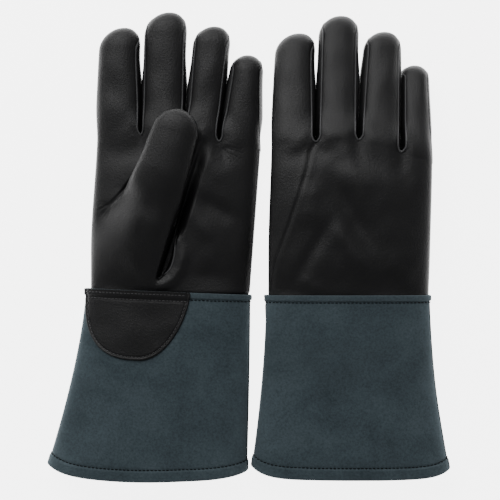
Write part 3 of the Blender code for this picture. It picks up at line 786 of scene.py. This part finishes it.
# ---- building the hand and fingers ----
def hand_pieces(glove, leather):
    """The palm and back with the finger strips that carry on from them, as one hand piece and one piece per
    finger.
    """
    name = glove["name"]
    made = {}
    hand = Patchwork()
    fingers = [Patchwork() for _ in FINGERS]
    for up in (1, -1):
        strips = [strip(glove, i, up) for i in range(4)]
        shares = [strip_shares(glove, i, COLUMNS[i]) for i in range(4)]
        joined = np.concatenate([shares[0]] + [s[1:] for s in shares[1:]])
        palm = hand_rows(glove, joined, up)
        normals = outward(palm, (0, 0, up))
        firsts = np.cumsum([0] + [len(s) - 1 for s in shares])
        edge_sum = np.zeros_like(palm[-1])
        for i in range(4):
            columns = slice(firsts[i], firsts[i] + len(shares[i]))
            strips[i][0] = palm[-1, columns]
            longer = np.concatenate([palm[-4:-1, columns], strips[i]])
            n = outward(longer, (0, 0, up))[3:]
            edge_sum[columns] += n[0]
            fingers[i].add(strips[i], n)
        normals[-1] = edge_sum / np.linalg.norm(edge_sum, axis=1, keepdims=True)
        at = 0 if up > 0 else 1
        for i in range(4):
            columns = slice(firsts[i], firsts[i] + len(shares[i]))
            fingers[i].normals[at].reshape(len(ROWS), -1, 3)[0] = normals[-1, columns]
        side_edges(normals, fingers[0].normals[at].reshape(len(ROWS), -1, 3))
        hand.add(palm, normals)
    made["hand"] = hand.build(glove, f"{name}_hand_leather", leather)
    for i, finger in enumerate(FINGERS):
        made[finger] = fingers[i].build(glove, f"{name}_{finger}_leather_panels", leather)
    return made


def side_edges(hand, index):
    """Where top and underside meet along the sides of the hand and the index finger, both look sideways."""
    hand[:, 0] = (-1.0, 0.0, 0.0)
    hand[:, -1] = (1.0, 0.0, 0.0)
    shaft = [k for k, row in enumerate(ROWS) if row < 1.0]
    index[shaft, 0] = (-1.0, 0.0, 0.0)


def fourchettes(glove, leather, piping):
    """The walls between fingers and the piping along their seams."""
    made = {}
    for i, finger in enumerate(FINGERS):
        walls, cords = Patchwork(), Patchwork()
        if i == 3:
            path = resample(strip(glove, i, 1)[:PIPED_ROWS, -1], 1.0)
            ring, rn = tube(path + np.array((-0.1, 0.0, 0.2)), 0.5)
            cords.add(ring, rn, around=True)
        for side in (-1, 1):
            if (i == 0 and side < 0) or (i == 3 and side > 0):
                continue
            p = wall(glove, i, side)
            walls.add(p, outward(p, (side, 0, 0)))
            for edge, up in ((0, 1), (-1, -1)):
                path = resample(p[:PIPED_ROWS, edge] + np.array((0.0, 0.0, 0.4 * up)), 1.0)
                path[:, 2] = np.maximum(path[:, 2], 0.72)
                taper = np.minimum(1.0, np.linspace(len(path) - 1, 0, len(path)) / 12.0)
                ring, rn = tube(path, 0.2 + 0.48 * taper)
                cords.add(ring, rn, around=True)
        made[finger] = (walls.build(glove, f"{glove['name']}_{finger}_fourchettes", leather),
                        cords.build(glove, f"{glove['name']}_{finger}_seam_piping", piping))
    return made


# ---- thumbs ----
def curve_through(points, count):
    """A smooth curve through the points."""
    points = np.asarray(points, dtype=float)
    spans = len(points) - 1
    out = []
    for t in np.linspace(0, spans, count):
        k = min(int(t), spans - 1)
        f = t - k
        p = [points[min(max(j, 0), spans)] for j in (k - 1, k, k + 1, k + 2)]
        out.append(0.5 * (2 * p[1] + (p[2] - p[0]) * f + (2 * p[0] - 5 * p[1] + 4 * p[2] - p[3]) * f * f
                          + (3 * p[1] - p[0] - 3 * p[2] + p[3]) * f ** 3))
    return np.array(out)


def stall_sections(points, pitch, cap, cap_rows):
    """Sections along a thumb's line, closer together in its round end, whose length is cap.

    Each gives its distance along, that as a share of the whole, its centre, its heading, and how far the
    round end narrows it."""
    line = resample(curve_through(points, 60), pitch)
    run = np.concatenate([[0], np.cumsum(np.linalg.norm(np.diff(line, axis=0), axis=1))])
    heading = np.gradient(line, axis=0)
    heading /= np.linalg.norm(heading, axis=1, keepdims=True)
    body = run[-1] - cap
    rounding = body + cap * np.sin(np.linspace(0, 0.985, cap_rows) * math.pi / 2)
    for s in np.concatenate([run[run < body], rounding]):
        centre, ahead = ([np.interp(s, run, values[:, k]) for k in range(2)] for values in (line, heading))
        yield s, s / run[-1], centre, ahead, math.sqrt(max(0.0, 1 - max(0.0, (s - body) / cap) ** 2.1))


def left_thumb(leather):
    """The stall that the swell in the palm carries on into, folded over towards the middle finger."""
    glove = LEFT
    start = np.array(THUMB_START) + np.array(THUMB_HEADING) * THUMB_JOIN
    q = signed_power(-np.cos(np.linspace(0, 1, THUMB_COLUMNS + 1) * math.pi), 0.9)
    round_top = (1 - np.abs(q) ** 2.3) ** (1 / 2.3)
    top_rows, under_rows = [], []
    for s, f, centre, ahead, tip in stall_sections([start] + LEFT_STALL, 1.4, 17.5, 24):
        right = mix(THUMB_RIGHT, STALL_HALF, step(0.0, 0.75, f))
        left = mix(THUMB_LEFT, STALL_HALF, step(0.0, 0.55, f))
        narrow = mix(1.0, 0.92, step(0.6, 1.0, f))
        off = np.where(q < 0, q * left, q * right) * tip * narrow
        x, y = centre[0] + ahead[1] * off, centre[1] - ahead[0] * off
        # the hand below: as it is at first, then level across the stall
        middle, half = hand_plan(glove, y)
        plain = hand_height(glove, (x - middle) / half, y, 1)
        flat = hand_height(glove, (centre[0] - middle) / half, y, 1)
        drift = step(0.0, 0.7, f)
        ground = mix(plain, flat, drift) - crotch_pull(glove, x, y) * (1 - drift)
        # the section: the root's shape turns into a round one that is lifted off the palm
        rise = mix(THUMB_RISE, 16.5, step(0.0, 0.45, f))
        root = thumb_profile(np.where(q < 0, q * THUMB_LEFT, q * THUMB_RIGHT), step(0.0, 0.2, f))
        shape = mix(root, round_top, step(0.05, 0.4, f))
        lift = 2.6 * step(0.0, 1.0, f)
        mid = rise * (0.5 * step(0.0, 0.35, f))
        upper = ground + lift + mid + (rise - mid) * shape * tip
        lower = ground + lift + mid - mid * round_top * tip * 0.96
        lumps = 0.3 * ripple(x, y, 13.0, 21) * smooth(0.05, 0.25, f)
        # it starts on the palm's own surface
        bare = relief(glove, x, y, 1) - thumb_swell(x, y)
        carried = plain + bare * (1 - smooth(0.0, 16.0, s)) + root_swell(*thumb_axes(x, y))
        keep = 1 - step(2.0, 24.0, s)
        top_rows.append(np.stack([x, y, mix(upper + lumps * shape, carried, keep) + 0.04], axis=1))
        under_rows.append(np.stack([x, y, lower + 0.2], axis=1))
    work = Patchwork()
    for rows, up in ((top_rows, 1), (under_rows, -1)):
        p = np.stack(rows)
        work.add(p, outward(p, (0, 0, up)))
    return work.build(glove, "left_thumb_stall", leather), start


def right_thumb(leather):
    """Folded in flat under the palm, out of sight from above."""
    rows = []
    turn = np.linspace(0, math.tau, 64, endpoint=False)
    for _, f, centre, ahead, tip in stall_sections(RIGHT_STALL, 1.6, 16.0, 20):
        width = mix(23.0, 16.5, step(0.0, 0.7, f)) * tip
        height = mix(8.6, 7.2, f) * tip
        off = signed_power(np.cos(turn), 2 / 2.3) * width
        up = signed_power(np.sin(turn), 2 / 2.3) * height
        x, y = centre[0] + ahead[1] * off, centre[1] - ahead[0] * off
        z = mix(12.5, 7.6, step(0.0, 0.3, f)) + up
        z = z + 0.3 * ripple(x, y, 12.0, 31) * tip
        rows.append(np.stack([x, y, np.maximum(z, 0.2)], axis=1))
    p = np.stack(rows)
    return one_grid(RIGHT, "right_thumb_stall", leather, p, centred_normals(p))


# ---- cuffs ----
def cuff_edges(glove, down):
    """x of the cuff's left and right edge: down is 0 at the wrist and 1 at the hem."""
    left = glove["cuff_top"][0] - glove["cuff_flare"][0] * down ** glove["flare_power"][0]
    right = glove["cuff_top"][1] + glove["cuff_flare"][1] * down ** glove["flare_power"][1]
    return left, right


def cuff_points(glove, turn, down, out=0.0):
    """Points on the cuff's outer face, moved outwards by out. Arrays broadcast."""
    left, right = cuff_edges(glove, down)
    half = mix(CUFF_HEIGHTS[0], CUFF_HEIGHTS[1], down ** 1.3)
    c, s = np.cos(turn), np.sin(turn)
    across = signed_power(c, 2 / HAND_POWER)
    x = (left + right) / 2 + ((right - left) / 2 + out) * across
    low, high = glove["hem_corners"]
    corner = np.where(across < 0, low, high)
    lift = mix(np.abs(across) ** 8, across ** 2, glove["hem_roundness"])
    hem = corner * lift - glove["hem_depth"]
    middle, slope = glove["top_edge"]
    y = mix(middle + slope * across, hem, down)
    mid = half + mix(glove["cuff_rise"][0], glove["cuff_rise"][1], smooth(0.0, 0.65, down))
    seed = 41 if glove is LEFT else 47
    wave = (0.55 * ripple(x, y, 30.0, seed) + 0.2 * ripple(x, y, 12.0, seed + 1)) * smooth(0.03, 0.2, down)
    z = mid + signed_power(s, 2 / HAND_POWER) * (half + out + wave * np.abs(s))
    return np.stack(np.broadcast_arrays(x, y, np.maximum(z, LOWEST)), axis=-1)


def cuff_ring(glove, turn, down, out):
    """One row of points round the cuff."""
    return cuff_points(glove, turn, np.array([[down]]), out)


def cuff(glove, suede, rolled, lining, thread):
    """The sleeve's pieces in a list, and the seam that closes it."""
    name = glove["name"]
    turn = np.linspace(0, math.tau, 220, endpoint=False)[None, :]
    depth = glove["hem_depth"]
    hem_row = 1 - HEM_ROW / depth
    band = BAND / depth

    def hem_fold(down):
        """The suede is double below the hem's stitches."""
        return 0.9 * smooth(hem_row - 0.004, hem_row + 0.014, down)

    # the suede, turned in at the hem
    above, below = np.linspace(0.012, hem_row - 0.012, 84), np.linspace(hem_row - 0.008, HEM_TURN, 16)
    down = np.concatenate([above, below])[:, None]
    outer = cuff_points(glove, turn, down, hem_fold(down) - 0.45 * bell(down - hem_row, 0.006))
    rim = [cuff_ring(glove, turn, HEM_TURN + 0.012 * math.sin(a), 0.9 - 1.3 * (1 - math.cos(a)))
           for a in np.linspace(0, math.pi, 9)[1:-1]]
    inner = cuff_points(glove, turn, np.linspace(HEM_TURN, hem_row - 0.02, 12)[:, None], -1.7)
    p = np.concatenate([outer] + rim + [inner])
    n = grid_normals(p, around=True)
    centre = outer.mean(axis=1, keepdims=True)
    lean = np.sign(np.sum(n[: len(outer)] * (outer - centre), axis=-1).mean())
    made = [one_grid(glove, f"{name}_cuff_suede", suede, p, n * lean)]
    # the lining
    down = np.linspace(0.0, hem_row - 0.005, 60)[:, None]
    p = cuff_points(glove, turn, down, -2.3 - 0.5 * smooth(0.0, 0.1, hem_row - down))
    made.append(one_grid(glove, f"{name}_cuff_cotton_lining", lining, p, centred_normals(p, inward=True)))
    # the rolled edge at the top
    rows = [cuff_ring(glove, turn, 0.004, -1.6)]
    rows += [cuff_ring(glove, turn, band * (0.5 - 0.5 * math.cos(a)), 0.25 + 1.0 * math.sin(a) ** 0.6)
             for a in np.linspace(0, math.pi, 11)]
    p = np.concatenate(rows)
    made.append(one_grid(glove, f"{name}_cuff_rolled_edge", rolled, p, centred_normals(p)))
    # the stitches along the hem and under the rolled edge
    ring = np.append(np.linspace(0, math.tau, 360, endpoint=False), 0.0)[None, :]
    work = Patchwork()
    for at in (hem_row, band + 1.1 / depth):
        line = cuff_ring(glove, ring, at, 0.0)[0]
        stitches(work, line, cuff_ring(glove, ring, at, 1.0)[0] - line)
    made.append(work.build(glove, f"{name}_cuff_stitches", thread))
    # the seam that closes the sleeve, a little above its right edge
    down = np.linspace(band + 0.004, HEM_TURN, 60)
    line = cuff_points(glove, np.full(60, 0.17), down, hem_fold(down))
    return made, one_grid(glove, f"{name}_cuff_side_seam", thread, *tube(line, 0.32))


# ---- pulse patch ----
def patch_points(glove, sx, down_mm, out, up):
    """Points over the cuff at a share across the patch and a distance below the cuff's top edge."""
    x = mix(PATCH_LEFT, PATCH_RIGHT, (sx + 1) / 2)
    down = down_mm / glove["hem_depth"]
    left, right = cuff_edges(glove, down)
    share = np.clip((x - (left + right) / 2) / ((right - left) / 2), -0.999, 0.999)
    turn = np.arccos(signed_power(share, HAND_POWER / 2)) * up
    return cuff_points(glove, turn, down, out)


def patch_outline(sx, share):
    """Slopes across and down of the outline's function, and its value: 0 on the outline, 1 far inside."""
    p, q = (np.where(sx < 0, full, even) for full, even in zip(PATCH_FULL, PATCH_EVEN))
    slope_x = p * np.abs(sx) ** (p - 1) * np.sign(sx) / PATCH_HALF
    slope_y = q * share ** (q - 1) / PATCH_DEPTH
    return slope_x, slope_y, 1 - np.abs(sx) ** p - share ** q


def patch(glove, leather, thread, up):
    """Half-round of grain leather over the pulse: its straight top is rolled with the cuff's edge."""
    name = glove["name"]
    ends = 0.9 + 0.1 * np.sin(np.linspace(0.1, 1.0, 10) * math.pi / 2)
    rows = []
    for share in np.concatenate([np.linspace(0.0, 0.9, PATCH_ROWS - 10), ends]):
        left, right = (max(1 - share ** q, 1e-4) ** (1 / p) for p, q in (PATCH_FULL, PATCH_EVEN))
        sx = np.sin(np.linspace(-math.pi / 2, math.pi / 2, PATCH_COLUMNS + 1))
        sx = sx * np.where(sx < 0, left, right) * (1 - 0.03 * (1 - smooth(0.0, 0.04, share)))
        down = np.full_like(sx, PATCH_DEPTH * share)
        slope_x, slope_y, inside = patch_outline(sx, share)
        reach = inside / np.maximum(np.hypot(slope_x, slope_y), 0.02)
        lift = 1.25 * (1 - np.exp(-np.clip(reach, 0, None) / 0.5))
        ridge = 0.35 * bell(reach - 1.1, 0.9)
        groove = -0.45 * bell(reach - PATCH_GROOVE, 0.6)
        band = 0.8 * (1 - smooth(*STACKED, down))
        for stitched in PATCH_STITCHED:
            band = band - 0.4 * bell(down - stitched, 0.6)
        rows.append(patch_points(glove, sx, down, 0.35 + lift + ridge + groove + band, up))
    p = np.stack(rows)
    piece = one_grid(glove, f"{name}_pulse_patch_leather", leather, p, outward(p, (0, 0, up)), around=False)
    work = Patchwork()

    def row(sx, down):
        height = 1.42 + 0.8 * (1 - smooth(*STACKED, down))
        line = patch_points(glove, sx, down, height, up)
        out = patch_points(glove, sx, down, height + 1.0, up) - line
        stitches(work, line, out, pitch=2.7, length=1.9, radius=0.3)

    # round the outline, moved inwards to the groove
    a = np.linspace(0.06, math.pi - 0.06, 160)
    p, q = (np.where(a > math.pi / 2, full, even) for full, even in zip(PATCH_FULL, PATCH_EVEN))
    sx, share = np.sign(np.cos(a)) * np.abs(np.cos(a)) ** (2 / p), np.sin(a) ** (2 / q)
    slope_x, slope_y, _ = patch_outline(sx, share)
    steep = np.hypot(slope_x, slope_y)
    sx = sx - PATCH_GROOVE * slope_x / steep / PATCH_HALF
    down = PATCH_DEPTH * share - PATCH_GROOVE * slope_y / steep
    row(sx[down > 8.0], down[down > 8.0])
    # and straight across its top
    straight = np.linspace(-0.95, 0.95, 60)
    for stitched, narrow in zip(PATCH_STITCHED, (1.0, 0.985)):
        row(straight * narrow, np.full_like(straight, stitched))
    return [piece, work.build(glove, f"{name}_pulse_patch_stitches", thread)]


# ---- seams laid on the leather ----
def laid_cord(glove, name, points, radius, material):
    """A fine raised seam that follows the top of the hand through the points."""
    path = resample(curve_through(points, 80), 1.2)
    x, y = path[:, 0], path[:, 1]
    middle, half = hand_plan(glove, y)
    share = np.clip((x - middle) / half, -0.9995, 0.9995)
    z = hand_height(glove, share, y, 1) + relief(glove, x, y, 1) * edge_fade(share) - SEAM_SINK
    return one_grid(glove, name, material, *tube(np.stack([x, y, z], axis=1), radius))


# ---- the pair ----
LEATHER = leather_material("black_grain_leather", (0.0016, 0.0016, 0.0018), (0.0034, 0.0034, 0.0037))
# the piping's leather is lighter than the black leather: its colour is a painted highlight for the light the
# seam ridges catch
PIPING_PAINTED_HIGHLIGHT = leather_material("piping_painted_highlight", (0.028, 0.028, 0.029), (0.045, 0.045, 0.047), grain=0.2)
# the last colour of each suede is its painted rim sheen, seen towards its outline
SUEDE_FACE = suede_material(
    "slate_suede", (0.0330, 0.0465, 0.0535), (0.0550, 0.0755, 0.0855), (0.106, 0.138, 0.154))
ROLLED = suede_material(
    "slate_suede_edge", (0.034, 0.048, 0.055), (0.052, 0.070, 0.079), (0.105, 0.135, 0.150))
LINING = cloth_material("cotton_lining", (0.52, 0.50, 0.45), 420.0)
THREAD = thread_material("black_thread", (0.0025, 0.0028, 0.003), 0.1)
# black thread given a grey colour: painted highlight on the patch's stitches
PATCH_THREAD_PAINTED_HIGHLIGHT = thread_material("black_thread_painted_highlight", (0.05, 0.05, 0.052), 0.5)
# a darker copy of the black leather: painted shade that offsets the stronger light on the flat, upward-facing
# patch
PATCH_LEATHER_PAINTED_SHADE = leather_material("patch_leather", (0.0014, 0.0014, 0.0016), (0.0026, 0.0026, 0.0029))


def world_point(glove, x, y, z):
    return tuple(place(glove, np.array((x, y, z))).tolist())


def ride_finger(glove, i, objects):
    """Works out where finger i's knuckle fold starts and ends, and bakes these pieces' placement into their
    meshes.
    """
    (x0, y0), (x1, y1) = glove["crotches"][i], glove["crotches"][i + 1]
    length = math.hypot(x1 - x0, y1 - y0)
    nx, ny = -(y1 - y0) / length, (x1 - x0) / length
    mx, my = (x0 + x1) / 2, (y0 + y1) / 2
    start = world_point(glove, mx, my, 10.0)
    end = world_point(glove, mx + nx * KNUCKLE_FOLD, my + ny * KNUCKLE_FOLD, 10.0)
    for obj in objects:
        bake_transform(obj)


def make_glove(glove):
    name = glove["name"]
    hand_body, cuff_body = f"{name}_hand", f"{name}_cuff"
    pieces = hand_pieces(glove, LEATHER)
    sides = fourchettes(glove, LEATHER, PIPING_PAINTED_HIGHLIGHT)
    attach(pieces["hand"], hand_body)
    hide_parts(f"{name}_palm_leather", f"{name}_back_leather", f"{name}_hand_lining",
                f"{name}_thumb_root")
    for i, finger in enumerate(FINGERS):
        walls, cords = sides[finger]
        if finger == "index":
            panels, strips = ["leather"], ["fourchette"]
        elif finger == "little":
            panels, strips = ["front", "back"], ["fourchette"]
        else:
            panels, strips = ["front", "back"], ["fourchette_thumb_side", "fourchette_little_side"]
        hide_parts(*[f"{name}_{finger}_{p}" for p in panels])
        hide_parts(*[f"{name}_{finger}_{s}" for s in strips])
        ride_finger(glove, i, [pieces[finger], walls, cords])
    if glove is LEFT:
        stall, start = left_thumb(LEATHER)
        a = world_point(glove, start[0], start[1], 40.0)
        b = world_point(glove, start[0] + THUMB_HEADING[0] * 20, start[1] + THUMB_HEADING[1] * 20, 40.0)
        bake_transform(stall)
        seam = laid_cord(glove, "left_thumb_root_seam", THUMB_SEAM, 0.6, PIPING_PAINTED_HIGHLIGHT)
        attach(seam, hand_body)
        side = [(float(sum(hand_plan(glove, y) * np.array((1, 0.985)))), y)
                for y in np.linspace(1.0, 107.0, 9)]
        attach(laid_cord(glove, "left_hand_outer_seam", side, 0.5, PIPING_PAINTED_HIGHLIGHT), hand_body)
    else:
        stall = right_thumb(LEATHER)
        world_point(glove, -24.0, 36.0, 8.0)
        world_point(glove, -17.0, 55.0, 8.0)
        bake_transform(stall)
        seam = laid_cord(glove, "right_back_seam", BACK_SEAM, 0.4, LEATHER)
        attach(seam, hand_body)
    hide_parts(f"{name}_thumb_front", f"{name}_thumb_back")
    sleeve, side_seam = cuff(glove, SUEDE_FACE, ROLLED, LINING, THREAD)
    patch_up = 1 if glove is LEFT else -1
    sleeve += patch(glove, PATCH_LEATHER_PAINTED_SHADE, PATCH_THREAD_PAINTED_HIGHLIGHT, patch_up)
    stands_for = [("cuff_palm_side", "cuff_back_side", "hem_facing"), ("cuff_lining",), ("cuff_welt",),
                  ("hem_thread", "wrist_thread"), ("pulse_patch",), ("patch_thread",)]
    start = world_point(glove, 0.0, -2.0, 12.0)
    end = world_point(glove, 0.0, -18.0, 12.0)
    for obj, nodes in zip(sleeve, stands_for):
        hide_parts(*[f"{name}_{n}" for n in nodes])
    for obj in sleeve + [side_seam]:
        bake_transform(obj)
        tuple(start)
    # the soft pieces: each with its flat size, the share of that rectangle it fills, and what it rests on
    suede, lining, rolled_edge, stitching, patch_leather, patch_stitches = sleeve
    for obj, flat, filled, on, fastened in (
            (suede, glove["cuff_flat"], 0.89, lining, [rolled_edge, stitching, side_seam]),
            (lining, glove["lining_flat"], 0.87, suede, []),
            (patch_leather, PATCH_FLAT, 0.76, suede, [patch_stitches])):
        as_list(fastened)


def make_stage():
    """A pale floor, a large soft light overhead, softer fill from the sides, and the camera above."""
    mesh = bpy.data.meshes.new("floor")
    reach = 3.0
    corners = [(-reach, -reach, 0), (reach, -reach, 0), (reach, reach, 0), (-reach, reach, 0)]
    mesh.from_pydata(corners, [], [(0, 1, 2, 3)])
    made, _, shader = new_material("pale_floor")
    fill(shader, Base_Color=(0.93, 0.93, 0.93, 1), Roughness=0.8)
    fill(shader, Emission_Color=(1, 1, 1, 1), Emission_Strength=5.0)
    mesh.materials.append(made)
    new_object("floor", mesh)
    lights = (("key", (-0.36, 0.95, 1.1), (-40.0, -15.0, 0.0), 1.2, 0.9, 19.0),
              ("fill_left", (-1.3, -0.1, 0.6), (0.0, -65.0, 0.0), 0.8, 0.8, 0.6))
    for name, at, tilt, width, height, power in lights:
        light = bpy.data.lights.new(name, "AREA")
        light.shape = "RECTANGLE"
        light.size, light.size_y = width, height
        light.energy = power
        obj = new_object(name, light)
        obj.location = at
        obj.rotation_euler = [math.radians(a) for a in tilt]
    world = bpy.data.worlds.new("studio")
    world.use_nodes = True
    tree = world.node_tree
    sky = tree.nodes["Background"]
    at = tree.nodes.new("ShaderNodeTexCoord")
    split = tree.nodes.new("ShaderNodeSeparateXYZ")
    tree.links.new(at.outputs["Generated"], split.inputs["Vector"])
    fade = ramp(tree, split.outputs["Z"], (0.8, 0.8, 0.8), (0.225, 0.225, 0.235), (0.0, 0.75))
    tree.links.new(fade, sky.inputs["Color"])
    sky.inputs["Strength"].default_value = 1.0
    bpy.context.scene.world = world
    camera = bpy.data.cameras.new("camera")
    camera.lens = 100
    camera.sensor_width = 36
    eye = new_object("camera", camera)
    eye.location = (0.0004, -0.0033, 1.051)
    bpy.context.scene.camera = eye


make_glove(LEFT)
make_glove(RIGHT)
make_stage()
